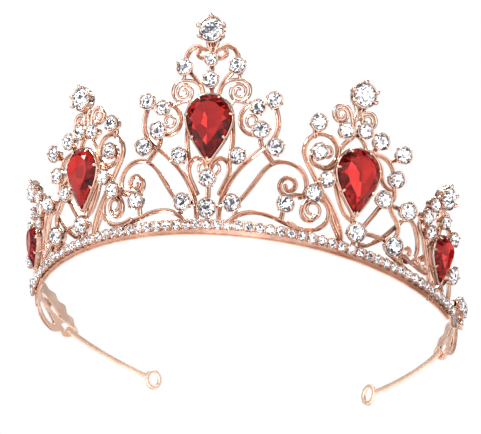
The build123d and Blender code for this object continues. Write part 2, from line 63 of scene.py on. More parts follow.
# ---------------------------------------------------------------- driving sizes, millimetres
PLAN = ((60.0, 76.0), (112.0, 55.0))
LEAF_START = 66.0
LEAF_HEADING = 84.0
BAND_HEIGHT = 3.6
BAND_THICKNESS = 1.2
BAND_LEAN = 28.0
FORWARD = 0.55
FLARE = 0.12
PLATE = 1.3
FOOT = 2.0
INNER_HEADING = 30.2
OUTER_HEADING = 55.4
LINK_HEADING = 15.0
SIDE_LINK_HEADING = 43.0
BAND_STONE = 2.3
BAND_PITCH = 2.8
BAND_STONE_RISE = 2.1
BAND_STONES_PER_SIDE = 30
TOP_STONE = 6.6
BIG_GEM = (12.6, 17.8)
SMALL_GEM = (9.6, 13.8)
CUP_WALL = 0.3
CUP_FLOOR = 0.4
END_WIRE_START = 106.0
END_WIRE_TAIL = 101.0
END_WIRE_INSET = 1.2
END_WIRE_RADIUS = 130.0
END_WIRE_TURN = 20.0
END_WIRE_RISE = 4.4
BAND_WIDTH = 141.457
TOP_CLAW_TURNS = (90, 18, -28, 162, 208)

MOUNTS = {m["name"]: m for m in frame["record"]["mounts"]}
BASE = Vector(MOUNTS["base_rest"]["pos_m"])
band_low, band_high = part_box("base_band")
MM = (band_high.x - band_low.x) / BAND_WIDTH
random.seed(11)


def foot(heading):
    """Point of the band's bottom edge at this heading, in mm."""
    point = Vector((0, 0, 0))
    start = 0.0
    for end, radius in PLAN:
        here, there = radians(start), radians(min(heading, end))
        point += Vector((sin(there) - sin(here), cos(here) - cos(there), 0)) * radius
        if heading <= end:
            break
        start = end
    return point


def heading_at(length):
    """Heading of the band at this length from the front centre."""
    start = 0.0
    for end, radius in PLAN:
        arc = radians(end - start) * radius
        if length <= arc:
            break
        length -= arc
        start = end
    return start + degrees(length / radius)


def length_at(heading):
    total, start = 0.0, 0.0
    for end, radius in PLAN:
        total += radians(min(heading, end) - start) * radius
        if heading <= end:
            break
        start = end
    return total


def upright(heading):
    h = radians(heading)
    return Vector((FLARE * sin(h), -FORWARD - FLARE * cos(h), 1)).normalized()


def place(point, side=1):
    """From mm in the tiara's own frame to the row frame, mirrored for the left half."""
    return BASE + Vector((point.x * side, point.y, point.z)) * MM


def panel_map(heading, side=1):
    """(u, v, w) of a panel to a place: along, up and out of it."""
    h = radians(heading)
    tangent = Vector((cos(h), sin(h), 0))
    up = upright(heading)
    along = (tangent - up * tangent.dot(up)).normalized()
    out = along.cross(up)
    origin = foot(heading)
    return lambda u, v, w: place(origin + along * u + up * v + out * w, side)


def leaf_map(side=1):
    """The same for the curved wall of a leaf end, with its two swelling lobes."""
    h = radians(LEAF_HEADING)
    tangent = Vector((cos(h), sin(h), 0))
    up = upright(LEAF_HEADING)
    lean = up.dot(tangent)
    rise = sqrt(1 - lean * lean)
    start = length_at(LEAF_HEADING)
    band_end = radians(LEAF_START)
    end_line = Vector((cos(band_end), sin(band_end), 0))

    def at(u, v, w):
        up_wall = v / rise
        heading = heading_at(start + u - lean * up_wall)
        t = radians(heading)
        out = Vector((cos(t), sin(t), 0)).cross(up).normalized()
        lobe = min(1.0, abs(v - 5.9 - 0.06 * u) / 3.2)
        swell = 0.55 * sqrt(lobe) - 0.35
        spot = foot(heading) + up * up_wall + out * (w + swell)
        short = 0.05 - (spot - foot(LEAF_START)).dot(end_line)
        return place(spot + end_line * max(0.0, short), side)
    return at


def stone_map(heading, side, rise=BAND_STONE_RISE):
    """Frame of a stone on the band's leaning outer face."""
    slant = radians(BAND_LEAN)
    h = radians(heading)
    out = Vector((sin(h), -cos(h), 0))
    origin = foot(heading) + out * (BAND_THICKNESS / 2 + rise * tan(slant)) + Vector((0, 0, rise))
    along = Vector((cos(h), sin(h), 0))
    normal = out * cos(slant) - Vector((0, 0, sin(slant)))
    up = normal.cross(along)
    return lambda u, v, w: place(origin + along * u + up * v + normal * w, side)


def moved(at, u0, v0, w0, turn=0.0):
    """The same frame, shifted and turned about its own normal."""
    c, s = cos(turn), sin(turn)
    return lambda u, v, w: at(u0 + u * c - v * s, v0 + u * s + v * c, w0 + w)


def spiral(centre, start, turn, outer, inner):
    steps = max(4, round(abs(turn) / 40))
    points = []
    for step in range(steps + 1):
        part = step / steps
        angle = radians(start + turn * part)
        radius = outer + (inner - outer) * part
        points.append((centre[0] + radius * cos(angle), centre[1] + radius * sin(angle)))
    return points


def pear(size, scale):
    half = size[0] / 2
    tail = size[1] - half
    points = []
    for step in range(9):
        angle = radians(200 - step * 27.5)
        points.append((half * cos(angle), half * sin(angle)))
    points += [(half * 0.7, -tail * 0.48), (half * 0.32, -tail * 0.8), (0, -tail)]
    points += [(-half * 0.32, -tail * 0.8), (-half * 0.7, -tail * 0.48)]
    return [(x * scale, y * scale) for x, y in points]


# ---------------------------------------------------------------- layout of the panels, (u, v) in mm
CENTRE_GEM_AT = (0, 31.7)
CENTRE_TOP_AT = (0, 55.8)
CENTRE_WIRES = [
    [(0.8, 50.4), (2.3, 51.2), (4.3, 51.8), (6.2, 50.9), (7.2, 49.0), (7.5, 46.2)],
    [(3.6, 51.2), (3.9, 49.4), (2.6, 48.6), (1.2, 48.6)],
    [(6.6, 45.2), (4.6, 43.2), (3.0, 41.0), (2.1, 38.2)],
    [(12.9, 36.2), (10.9, 35.6), (9.2, 34.1), (8.4, 31.9), (8.7, 29.7), (10.0, 28.0),
     (12.0, 27.3), (14.4, 28.0)],
    [(17.6, 36.0), (18.3, 33.6), (18.8, 31.2), (18.7, 28.8), (17.7, 26.4), (16.2, 24.6), (14.9, 23.4)],
    [(14.2, 27.6), (14.1, 25.4), (15.0, 23.2), (16.4, 21.2), (17.6, 19.6)],
    [(15.2, 24.0), (13.0, 22.2), (10.6, 20.1), (8.3, 17.8), (6.4, 15.2), (4.9, 12.4), (3.8, 9.6),
     (3.2, 6.4), (3.0, FOOT)],
    [(6.2, 31.0), (6.4, 27.0), (6.2, 23.5), (5.7, 20.4), (5.6, 18.2)],
    [(0, 16.2), (0.6, 18.4), (2.0, 20.4), (3.8, 20.8), (5.2, 19.7), (5.7, 17.8), (5.3, 15.8),
     (4.2, 13.4), (3.0, 11.0)],
    [(3.2, 8.2), (5.0, 8.8), (7.0, 8.6)],
    [(6.9, 8.6), (7.6, 6.6), (7.6, 4.6)],
]
CENTRE_FINE = [
    [(2.3, 38.4), (2.9, 40.4), (4.5, 42.0)] + spiral((7.8, 39.2), 110, -760, 3.5, 0.7),
    [(8.6, 36.2), (9.6, 35.9), (10.6, 35.4)],
    [(6.8, 36.8), (5.9, 35.8), (5.2, 34.6)],
    [(13.6, 29.2)] + spiral((11.6, 31.2), -60, -330, 1.8, 1.1),
    [(1.6, 19.9), (2.7, 19.0), (2.9, 17.6), (1.9, 16.4)],
    [(7.7, 43.8), (8.0, 42.4)],
]
CENTRE_AXIS_WIRES = [
    [(0, 53.0), (0, 50.0), (0, 46.0), (0, 41.0), (0, 36.0)],
    [(0, 21.0), (0, 15.3), (0, 10.0), (0, FOOT)],
]
CENTRE_PAIRS = [
    (7.4, 45.9, 4.2), (17.7, 36.3, 4.0), (13.3, 34.5, 3.8), (14.4, 28.3, 4.4),
    (18.3, 23.7, 4.4), (8.2, 21.3, 4.2), (6.9, 8.7, 4.4),
]
CENTRE_AXIS_STONES = [(0, 47.9, 3.4), (0, 42.2, 4.2), (0, 15.3, 4.4), (0, 7.2, 4.9)]

INNER_GEM_AT = (0, 24.0)
INNER_TOP_AT = (0, 45.2)
INNER_WIRES = [
    [(0.1, 42.8), (-0.9, 40.4), (-1.6, 38.0), (-1.5, 35.6), (-1.7, 33.8), (-3.6, 32.0),
     (-4.9, 30.2), (-5.6, 27.6)],
    [(-1.5, 34.6), (0.6, 33.8), (2.0, 32.2), (2.8, 30.4)],
    spiral((-10.4, 28.6), 225, -325, 5.4, 4.2),
    [(-10.6, 24.4), (-12.6, 25.2), (-13.4, 26.8), (-12.8, 28.2)],
    [(-4.3, 35.0), (-3.5, 33.5), (-2.8, 32.5)],
    [(-11.6, 25.0), (-8.8, 24.0), (-6.2, 25.4)],
    [(-12.5, 36.0), (-12.9, 34.0), (-12.6, 32.4)],
    [(-14.4, 25.2), (-12.3, 21.9), (-9.7, 17.9), (-7.6, 15.4), (-5.8, 12.7), (-4.3, 9.8),
     (-3.2, 6.6), (-2.8, FOOT)],
    [(-7.0, 12.7), (-5.7, 9.4), (-3.9, 5.9), (-3.2, FOOT)],
    [(-12.6, 16.9), (-11.0, 17.2), (-9.6, 17.6)],
    [(-8.4, 21.4), (-10.2, 20.6), (-11.5, 20.6)],
    [(-6.0, 25.2), (-6.0, 21.4), (-5.0, 17.6), (-3.8, 14.6), (-2.2, 12.0), (0, 10.4)],
    [(0, 12.4), (0.5, 9.5), (0.8, 6.0), (0.9, FOOT)],
    [(2.4, 8.0), (4.5, 10.7), (6.2, 12.8), (7.9, 15.0), (10.9, 16.6)],
    [(8.3, 17.4), (10.4, 16.4), (13.4, 15.4), (16.1, 14.7)],
    [(10.9, 16.4), (12.3, 18.4), (12.2, 20.4), (11.8, 23.0)],
    [(10.8, 16.2), (12.3, 13.4), (14.0, 10.8), (14.1, 8.2), (12.9, 6.0)],
    [(3.0, 30.4), (5.4, 29.9), (7.6, 29.3), (9.8, 28.1), (11.3, 26.1), (11.8, 23.8)],
    [(5.9, 28.6), (7.4, 26.6), (7.9, 24.2), (8.6, 21.9), (10.2, 20.6), (12.2, 20.2)],
    [(10.4, 28.2), (12.0, 28.8), (13.5, 29.8)],
    [(6.2, 33.3), (5.6, 31.4), (4.8, 29.6)],
    [(-13.4, 15.6), (-14.8, 13.4), (-14.9, 11.2), (-13.6, 9.7), (-11.8, 9.9), (-10.8, 11.2)],
    [(-18.6, 8.6), (-15.4, 7.4), (-12.4, 7.2), (-9.6, 7.9), (-7.6, 9.8), (-7.1, 12.2),
     (-8.0, 14.4), (-10.0, 15.8),
     (-12.8, 16.6)],
    [(2.6, 7.6), (6.0, 7.2), (9.3, 6.3), (10.8, 5.2), (12.3, 4.2)],
]
INNER_FINE = [
    [(-1.6, 35.8), (-2.2, 38.6)] + spiral((-5.4, 39.6), 15, 700, 2.9, 0.7),
    [(-1.1, 38.2), (-0.2, 40.2)] + spiral((2.7, 38.6), 120, -660, 2.8, 0.7),
    [(-11.6, 28.4)] + spiral((-9.0, 28.6), 120, -300, 1.9, 1.0),
    spiral((-12.0, 12.6), 200, 420, 2.9, 1.2),
]
INNER_STONES = [
    (-4.3, 35.0, 4.1), (1.3, 35.5, 4.1), (6.3, 33.2, 4.4), (13.6, 30.2, 4.4), (11.9, 23.2, 4.4),
    (8.4, 17.3, 4.4),
    (16.1, 14.7, 4.8), (-12.5, 36.2, 4.2), (-11.7, 28.4, 4.2), (-8.9, 21.2, 4.0),
    (-12.6, 17.0, 4.4), (0.7, 7.6, 5.0),
    (12.3, 4.6, 5.2),
]

OUTER_GEM_AT = (0, 15.2)
OUTER_TOP_AT = (0, 31.4)
OUTER_WIRES = [
    [(0, 28.6), (0.2, 26.4), (0.8, 24.2), (0.4, 21.8), (0, 19.0)],
    [(0.2, 27.6), (-2.6, 27.6), (-5.4, 28.4), (-7.4, 26.8), (-8.6, 24.6)],
    [(-8.6, 24.8), (-10.0, 22.4), (-9.4, 21.0), (-7.6, 18.8), (-6.3, 15.6), (-4.8, 12.0),
     (-3.4, 8.6), (-2.4, 5.0),
     (-2.0, 1.0)],
    [(-8.4, 24.4), (-6.6, 22.2), (-5.4, 19.8), (-4.6, 17.2)],
    [(0.4, 21.9), (-2.0, 21.7), (-5.4, 20.0)],
    [(0.6, 24.4), (3.2, 23.6), (5.4, 21.8), (6.4, 19.2), (6.0, 16.2), (5.4, 13.2), (6.4, 11.0),
     (7.0, 8.8)],
    [(7.0, 8.8), (5.4, 6.6), (3.2, 5.0), (1.0, 3.6), (0, 0.4)],
    [(0, 6.4), (0, 4.0), (0, 0.4)],
    [(-16.2, 12.8), (-13.2, 11.4), (-10.0, 10.2), (-6.8, 9.0), (-4.4, 8.6), (-3.2, 10.2),
     (-4.2, 12.2), (-6.6, 13.2),
     (-8.8, 12.6), (-9.2, 11.4)],
    [(3.4, 5.4), (4.6, 3.8), (4.0, 1.8), (2.2, 1.6)],
    [(7.0, 8.6), (8.4, 5.0), (8.4, 1.4), (7.4, -2.0)],
]
OUTER_FINE = [
    spiral((-6.4, 10.8), -60, 420, 2.0, 0.8),
    [(0, 28.4), (2.2, 27.4)] + spiral((2.9, 25.2), 70, -220, 2.0, 1.0),
]
OUTER_STONES = [
    (-5.4, 28.7, 4.0), (-8.5, 24.8, 4.2), (0.9, 24.2, 4.0), (-6.2, 20.4, 4.0), (6.2, 19.6, 4.0),
    (7.0, 8.8, 5.0),
]

LINK_WIRES = [
    [(-12.4, 9.6), (-11.0, 11.0), (-9.0, 13.6), (-7.0, 16.6), (-4.8, 19.6), (-2.4, 21.3),
     (0.4, 21.7), (3.2, 20.9),
     (5.2, 19.2), (6.3, 16.9), (6.4, 14.4), (5.2, 12.6)],
    [(5.6, 13.0)] + spiral((1.7, 15.3), -50, -500, 3.1, 0.9),
    [(-14.6, 4.0), (-12.6, 6.0), (-10.4, 7.1), (-7.8, 7.6), (-5.2, 7.4), (-2.4, 6.7), (0.2, 5.6),
     (2.8, 4.6), (5.4, 4.0),
     (8.2, 3.8)],
    [(0.7, 10.4), (0.4, 8.2), (0, 6.0)],
    [(4.6, 12.2), (6.6, 13.0), (8.2, 15.0)],
]
LINK_STONES = [(0.8, 10.4, 4.4)]

SIDE_LINK_WIRES = [
    [(-14.6, 8.8), (-12.6, 8.8), (-10.4, 9.6), (-7.7, 10.9), (-5.1, 12.8), (-2.5, 15.0),
     (0, 17.0), (2.6, 17.4),
     (4.4, 16.0), (5.7, 13.4), (6.4, 10.6), (6.2, 7.8), (4.8, 5.9)],
    [(5.4, 6.6)] + spiral((2.4, 7.8), -50, -330, 2.6, 1.0),
    [(0.6, 7.4), (0.2, 5.6), (1.6, 3.2)],
    [(-4.6, 7.4), (-2.0, 6.0), (1.0, 4.2), (4.0, 2.2), (7.2, 0.2)],
]

# The leaf is drawn on the band's wall: level along the band and square up from it.
LEAF_OUTLINE = [
    (-19.0, 3.4), (-15.0, 0.9), (-11.6, 0.2), (-8.4, 1.6), (-4.0, 0.3), (3.0, 0.0), (10.0, 0.5),
    (14.4, 2.4), (18.0, 2.0),
    (21.6, 3.8), (23.6, 6.4), (20.6, 8.2), (18.6, 10.4), (14.8, 10.6), (12.0, 12.8), (7.4, 12.4),
    (4.0, 13.8), (-1.0, 12.8),
    (-6.0, 13.0), (-11.0, 11.0), (-15.0, 8.2), (-19.0, 5.6),
]
LEAF_OPENINGS = [
    [(-9.6, 3.2), (-4.0, 2.1), (3.0, 1.8), (9.0, 2.8), (4.4, 4.6), (-3.0, 5.0)],
    [(-8.0, 7.6), (-1.0, 6.7), (6.0, 6.6), (11.6, 7.2), (5.0, 8.9), (-2.0, 9.2)],
    [(13.0, 5.0), (16.6, 4.4), (19.4, 5.6), (16.0, 7.0)],
]
# Stones of the leaf: heading, height up the wall, diameter
LEAF_STONES = [(69.8, 7.4, 4.2), (78.6, 9.6, 4.2), (88.0, 9.8, 4.2)]


# ---------------------------------------------------------------- materials

def new_material(name):
    mat = bpy.data.materials.new(name)
    mat.use_nodes = True
    nodes = mat.node_tree.nodes
    bsdf = nodes["Principled BSDF"]
    return mat, nodes, mat.node_tree.links, bsdf


def ramp(nodes, stops):
    node = nodes.new("ShaderNodeValToRGB")
    while len(node.color_ramp.elements) < len(stops):
        node.color_ramp.elements.new(0.5)
    for element, (position, colour) in zip(node.color_ramp.elements, stops):
        element.position = position
        element.color = (*colour, 1)
    return node


def metal(name, deep, pale, rough_low, rough_high, metallic, bump_height):
    """Plated metal: slow tint changes, uneven polish and fine casting grain."""
    mat, nodes, links, bsdf = new_material(name)
    where = nodes.new("ShaderNodeTexCoord")
    slow = nodes.new("ShaderNodeTexNoise")
    slow.inputs["Scale"].default_value = 130.0
    slow.inputs["Detail"].default_value = 4.0
    links.new(where.outputs["Object"], slow.inputs["Vector"])
    tint = ramp(nodes, [(0.3, deep), (0.7, pale)])
    links.new(slow.outputs["Fac"], tint.inputs["Fac"])
    links.new(tint.outputs["Color"], bsdf.inputs["Base Color"])
    fine = nodes.new("ShaderNodeTexNoise")
    fine.inputs["Scale"].default_value = 900.0
    fine.inputs["Detail"].default_value = 3.0
    links.new(where.outputs["Object"], fine.inputs["Vector"])
    polish = nodes.new("ShaderNodeMapRange")
    polish.inputs["From Min"].default_value = 0.3
    polish.inputs["From Max"].default_value = 0.7
    polish.inputs["To Min"].default_value = rough_low
    polish.inputs["To Max"].default_value = rough_high
    links.new(fine.outputs["Fac"], polish.inputs["Value"])
    links.new(polish.outputs["Result"], bsdf.inputs["Roughness"])
    bump = nodes.new("ShaderNodeBump")
    bump.inputs["Strength"].default_value = 0.5
    bump.inputs["Distance"].default_value = bump_height
    links.new(fine.outputs["Fac"], bump.inputs["Height"])
    links.new(bump.outputs["Normal"], bsdf.inputs["Normal"])
    bsdf.inputs["Metallic"].default_value = metallic
    return mat


def facet_stone_with_painted_light(name, stops, metallic, roughness, cells, cell_share, spread, coat, specular):
    """Cut stone whose base colour is painted light: each facet gets its own level of painted light, from
    painted shade to painted highlight, broken up by painted reflections of the facets seen through it.
    """
    mat, nodes, links, bsdf = new_material(name)
    where = nodes.new("ShaderNodeTexCoord")
    facing = nodes.new("ShaderNodeNewGeometry")
    pick = nodes.new("ShaderNodeVectorMath")
    pick.operation = "DOT_PRODUCT"
    pick.inputs[1].default_value = spread
    links.new(facing.outputs["True Normal"], pick.inputs[0])
    # Voronoi cells stand in for painted reflections of the back facets seen through the stone.
    depth = nodes.new("ShaderNodeTexVoronoi")
    depth.inputs["Scale"].default_value = cells
    links.new(where.outputs["Object"], depth.inputs["Vector"])
    tone = nodes.new("ShaderNodeSeparateColor")
    links.new(depth.outputs["Color"], tone.inputs["Color"])
    mixed = nodes.new("ShaderNodeMath")
    mixed.operation = "MULTIPLY_ADD"
    mixed.inputs[1].default_value = cell_share
    links.new(tone.outputs["Red"], mixed.inputs[0])
    links.new(pick.outputs["Value"], mixed.inputs[2])
    part = nodes.new("ShaderNodeMath")
    part.operation = "FRACT"
    links.new(mixed.outputs["Value"], part.inputs[0])
    # The ramp turns this per-facet value into painted shade at its dark end and painted highlight at its
    # bright end.
    colour = ramp(nodes, stops)
    links.new(part.outputs["Value"], colour.inputs["Fac"])
    links.new(colour.outputs["Color"], bsdf.inputs["Base Color"])
    bsdf.inputs["Metallic"].default_value = metallic
    bsdf.inputs["Roughness"].default_value = roughness
    bsdf.inputs["IOR"].default_value = 1.5
    bsdf.inputs["Specular IOR Level"].default_value = specular
    bsdf.inputs["Coat Weight"].default_value = coat
    bsdf.inputs["Coat Roughness"].default_value = 0.02
    return mat


POLISHED = metal("rose_gold_polished", (0.55, 0.35, 0.27), (0.80, 0.58, 0.48), 0.10, 0.20, 1.0, 0.000012)
SATIN = metal("rose_gold_satin", (0.72, 0.48, 0.37), (0.84, 0.62, 0.50), 0.34, 0.46, 0.75, 0.000004)
# Clear crystal: the stops from near black to white are painted light, with painted shade on dark facets and
# painted highlights on bright ones; the stone itself has no colour.
CLEAR = facet_stone_with_painted_light("clear_crystal_facets", [
    (0.0, (0.006, 0.006, 0.008)), (0.28, (0.06, 0.06, 0.07)), (0.5, (0.28, 0.28, 0.3)),
    (0.68, (0.66, 0.67, 0.7)), (1.0, (1.0, 1.0, 1.0))], 0.25, 0.04, 1500.0, 0.7, (5.3, 7.9, 6.1), 0.35, 0.5)
# Red gem: the red hue is its own colour; the spread from dark to bright facets is painted shade and painted
# highlight.
RED_CROWN = facet_stone_with_painted_light("red_gem_crown", [
    (0.0, (0.010, 0.0003, 0.0003)), (0.35, (0.045, 0.001, 0.001)), (0.7, (0.12, 0.003, 0.002)),
    (1.0, (0.28, 0.010, 0.008))], 0.0, 0.05, 420.0, 0.35, (5.3, 7.9, 6.1), 0.12, 0.2)
# The table gets brighter red than the crown: painted light shining through the top of the gem.
RED_TABLE = facet_stone_with_painted_light("red_gem_table", [
    (0.0, (0.10, 0.002, 0.002)), (0.35, (0.17, 0.004, 0.003)), (0.7, (0.26, 0.008, 0.006)),
    (1.0, (0.40, 0.022, 0.018))], 0.0, 0.04, 330.0, 0.55, (3.1, 4.7, 3.9), 0.12, 0.2)


# ---------------------------------------------------------------- mesh tools

class Shape:
    """Collects closed shells in one mesh; every point goes through a frame function."""

    def __init__(self):
        self.bm = bmesh.new()

    def ring(self, at, points):
        return [self.bm.verts.new(at(*p)) for p in points]

    def face(self, verts, material=0):
        face = self.bm.faces.new(verts)
        face.material_index = material
        return face

    def bridge(self, a, b, material=0):
        n = len(a)
        for i in range(n):
            self.face((a[i], a[(i + 1) % n], b[(i + 1) % n], b[i]), material)

    def tube(self, rings, closed=False):
        for a, b in zip(rings, rings[1:]):
            self.bridge(a, b)
        if closed:
            self.bridge(rings[-1], rings[0])
        else:
            self.face(list(reversed(rings[0])))
            self.face(rings[-1])

    def lathe(self, at, profile, segments=24):
        """Turns (radius, height) points; the profile runs as a closed loop."""
        loops = []
        for k in range(segments):
            a = 2 * pi * k / segments
            loops.append([self.bm.verts.new(at(r * cos(a), r * sin(a), z)) for r, z in profile])
        n = len(profile)
        for k in range(segments):
            a, b = loops[k], loops[(k + 1) % segments]
            for i in range(n):
                self.face((a[i], b[i], b[(i + 1) % n], a[(i + 1) % n]))

    def ball(self, at, radius, rows=6, columns=12):
        top = self.bm.verts.new(at(0, 0, radius))
        low = self.bm.verts.new(at(0, 0, -radius))
        rings = []
        for r in range(1, rows):
            a = pi * r / rows
            rings.append(self.ring(at, [(radius * sin(a) * cos(2 * pi * k / columns),
                                         radius * sin(a) * sin(2 * pi * k / columns),
                                         radius * cos(a)) for k in range(columns)]))
        for a, b in zip(rings, rings[1:]):
            self.bridge(a, b)
        for k in range(columns):
            self.face((top, rings[0][k], rings[0][(k + 1) % columns]))
            self.face((low, rings[-1][(k + 1) % columns], rings[-1][k]))

    def finish(self, name, materials, smooth=True, angle=38):
        bmesh.ops.recalc_face_normals(self.bm, faces=self.bm.faces)
        mesh = bpy.data.meshes.new(name)
        self.bm.to_mesh(mesh)
        self.bm.free()
        for mat in materials:
            mesh.materials.append(mat)
        mesh.polygons.foreach_set("use_smooth", [smooth] * len(mesh.polygons))
        if smooth:
            mesh.set_sharp_from_angle(angle=radians(angle))
        obj = bpy.data.objects.new(name, mesh)
        bpy.context.scene.collection.objects.link(obj)
        return obj


THICK = [(-.50, -.45), (-.64, -.12), (-.67, .18), (-.60, .46), (-.43, .62), (-.24, .52), (-.10, .12), (0, .0),
         (.10, .12), (.24, .52), (.43, .62), (.60, .46), (.67, .18), (.64, -.12), (.50, -.45),
         (.26, -.63), (-.26, -.63)]
THIN = [(-.36, -.34), (-.45, 0), (-.40, .28), (-.22, .52), (0, .60), (.22, .52), (.40, .28), (.45, 0),
        (.36, -.34),
        (.18, -.55), (-.18, -.55)]


def curve(points, step=0.4):
    """Smooth curve through the points, as (position, tangent) samples."""
    pts = [Vector(p) for p in points]
    ends = [pts[0] * 2 - pts[1]] + pts + [pts[-1] * 2 - pts[-2]]
    samples = []
    for i in range(1, len(ends) - 2):
        p0, p1, p2, p3 = ends[i - 1:i + 3]
        d0, d1, d2 = ((p1 - p0).length ** 0.5, (p2 - p1).length ** 0.5, (p3 - p2).length ** 0.5)
        m1 = (p1 - p0) / d0 - (p2 - p0) / (d0 + d1) + (p2 - p1) / d1
        m2 = (p2 - p1) / d1 - (p3 - p1) / (d1 + d2) + (p3 - p2) / d2
        m1, m2 = m1 * d1, m2 * d1
        count = max(2, ceil((p2 - p1).length / step))
        for k in range(count + (i == len(ends) - 3)):
            t = k / count
            p = (2 * t**3 - 3 * t**2 + 1) * p1 + (t**3 - 2 * t**2 + t) * m1
            p += (3 * t**2 - 2 * t**3) * p2 + (t**3 - t**2) * m2
            d = ((6 * t**2 - 6 * t) * p1 + (3 * t**2 - 4 * t + 1) * m1 + (6 * t - 6 * t**2) * p2
                 + (3 * t**2 - 2 * t) * m2)
            samples.append((p, d.normalized()))
    return samples


def sweep(shape, at, points, profile, lift=0.0, scale=1.0, step=0.4):
    """Rounded wire along a path of the panel, with softly closed ends."""
    samples = curve(points, step)
    radius = max(abs(a) for a, b in profile) * scale
    first, last = samples[0], samples[-1]
    stations = [(first[0] - first[1] * radius * 0.55, first[1], 0.35),
                (first[0] - first[1] * radius * 0.35, first[1], 0.8)]
    stations += [(p, t, 1.0) for p, t in samples]
    stations += [(last[0] + last[1] * radius * 0.35, last[1], 0.8),
                 (last[0] + last[1] * radius * 0.55, last[1], 0.35)]
    rings = []
    for p, t, k in stations:
        rings.append(shape.ring(at, [(p.x - t.y * a * k * scale, p.y + t.x * a * k * scale,
                                      b * k * scale + lift)
                                     for a, b in profile]))
    shape.tube(rings)


def outline_at(corners, t):
    """Point of a smooth closed outline through its corners; t counts corners."""
    n = len(corners)
    i = int(t) % n
    f = t - int(t)
    p0, p1, p2, p3 = (Vector(corners[(i + k) % n]) for k in (-1, 0, 1, 2))
    return 0.5 * ((2 * p1) + (p2 - p0) * f + (2 * p0 - 5 * p1 + 4 * p2 - p3) * f * f
                  + (3 * p1 - p0 - 3 * p2 + p3) * f**3)


def brilliant(shape, at, corners, low, girdle, mid, table, mid_scale, table_scale, keel, crown=0.0):
    """Cut stone with girdle, break facets, kites, stars and table above a faceted back."""
    n = len(corners)
    rim = [outline_at(corners, i / 2) for i in range(2 * n)]
    g0 = shape.ring(at, [(p.x, p.y, girdle - 0.12) for p in rim])
    g1 = shape.ring(at, [(p.x, p.y, girdle) for p in rim])
    mids = [rim[2 * i + 1] * mid_scale for i in range(n)]
    m = shape.ring(at, [(p.x, p.y, mid) for p in mids])
    t = shape.ring(at, [(rim[2 * i].x * table_scale, rim[2 * i].y * table_scale, table) for i in range(n)])
    back = shape.ring(at, [(rim[2 * i].x * keel, rim[2 * i].y * keel, low) for i in range(n)])
    shape.bridge(g0, g1)
    for i in range(n):
        j = (i + 1) % n
        shape.face((t[i], t[j], m[i]))
        shape.face((t[i], m[i], g1[2 * i]))
        shape.face((t[i], g1[2 * i], m[i - 1]))
        shape.face((m[i], g1[2 * i + 1], g1[2 * i]))
        shape.face((m[i], g1[(2 * i + 2) % (2 * n)], g1[2 * i + 1]))
        shape.face((back[i], back[j], g0[2 * i + 1]))
        shape.face((back[i], g0[2 * i + 1], g0[2 * i]))
        shape.face((back[j], g0[(2 * i + 2) % (2 * n)], g0[2 * i + 1]))
    if crown:
        peak = shape.bm.verts.new(at(0, -0.3, table + crown))
        for i in range(n):
            shape.face((t[i], t[(i + 1) % n], peak), 1)
    else:
        shape.face(t)
    shape.face(list(reversed(back)))


def crystal(shape, at, size):
    r = size / 2 * 0.95
    n = 8
    corners = [(r * cos(2 * pi * k / n), r * sin(2 * pi * k / n)) for k in range(n)]
    f = CUP_FLOOR
    brilliant(shape, at, corners, f, f + size * 0.23, f + size * 0.345, f + size * 0.4, 0.79, 0.55, 0.35)


def claw(shape, at, angle, radius, thick, low, high, lean):
    """Small claw that stands in the cup wall and bends over the stone's edge."""
    c, s = cos(angle), sin(angle)
    rings = []
    for height, reach, k in ((low, radius, 1.0), (high * 0.72, radius, 1.0),
                             (high * 0.93, radius - lean * 0.45, 0.95),
                             (high, radius - lean, 0.8), (high * 0.97, radius - lean * 1.35, 0.45)):
        rings.append(shape.ring(at, [(c * reach + thick * k * (c * cos(a) - s * sin(a)),
                                      s * reach + thick * k * (s * cos(a) + c * sin(a)), height)
                                     for a in (2 * pi * q / 8 for q in range(8))]))
    shape.tube(rings)


def cup(shape, at, size, claws=4, turn=45.0):
    """Round claw cup with a rolled lip, a seat ledge and a floor."""
    r = size / 2
    top = CUP_FLOOR + size * 0.24
    w = CUP_WALL + 0.08
    profile = [(0.001, 0), (r * 0.8, 0), (r + w * 0.5, CUP_FLOOR * 0.8), (r + w * 0.72, top * 0.72),
               (r + w, top - 0.14),
               (r + w * 0.9, top - 0.02), (r + w * 0.5, top + 0.03), (r + 0.02, top - 0.06),
               (r * 0.98, CUP_FLOOR + 0.1),
               (0.001, CUP_FLOOR - 0.05)]
    shape.lathe(at, profile, 24 if size > 3 else 16)
    high = top + size * 0.15
    for k in range(claws):
        claw(shape, at, radians(turn + 360 / claws * k), r + w * 0.45, 0.16 + size * 0.035, 0.1, high,
             size * 0.075)


def top_setting(shape, at, size):
    """Gallery cup with petals round its foot and five ball claws."""
    r = size / 2
    cup(shape, at, size, 0)
    for k in range(10):
        a = 2 * pi * k / 10
        claw(shape, at, a, r + 0.1, 0.34, 0.0, CUP_FLOOR + size * 0.16, 0.25)
    for angle in TOP_CLAW_TURNS:
        a = radians(angle)
        shape.ball(moved(at, cos(a) * (r + 0.35), sin(a) * (r + 0.35), 2.15), 0.72)
        claw(shape, at, a, r + 0.3, 0.42, 0.2, 2.1, 0.2)


def band_of(shape, at, corners, outer, inner, low, high, bead):
    """Closed rim between two scaled copies of an outline, with a rolled top edge."""
    n = len(corners) * 4
    pts = [outline_at(corners, i / 4) for i in range(n)]
    mid = (outer + inner) / 2
    section = [(inner, low), (outer, low), (outer, high - bead),
               (outer * 0.6 + mid * 0.4, high - bead * 0.3), (mid, high),
               (inner * 0.6 + mid * 0.4, high - bead * 0.3), (inner, high - bead)]
    rings = [shape.ring(at, [(p.x * k, p.y * k, z) for k, z in section]) for p in pts]
    shape.tube(rings, closed=True)


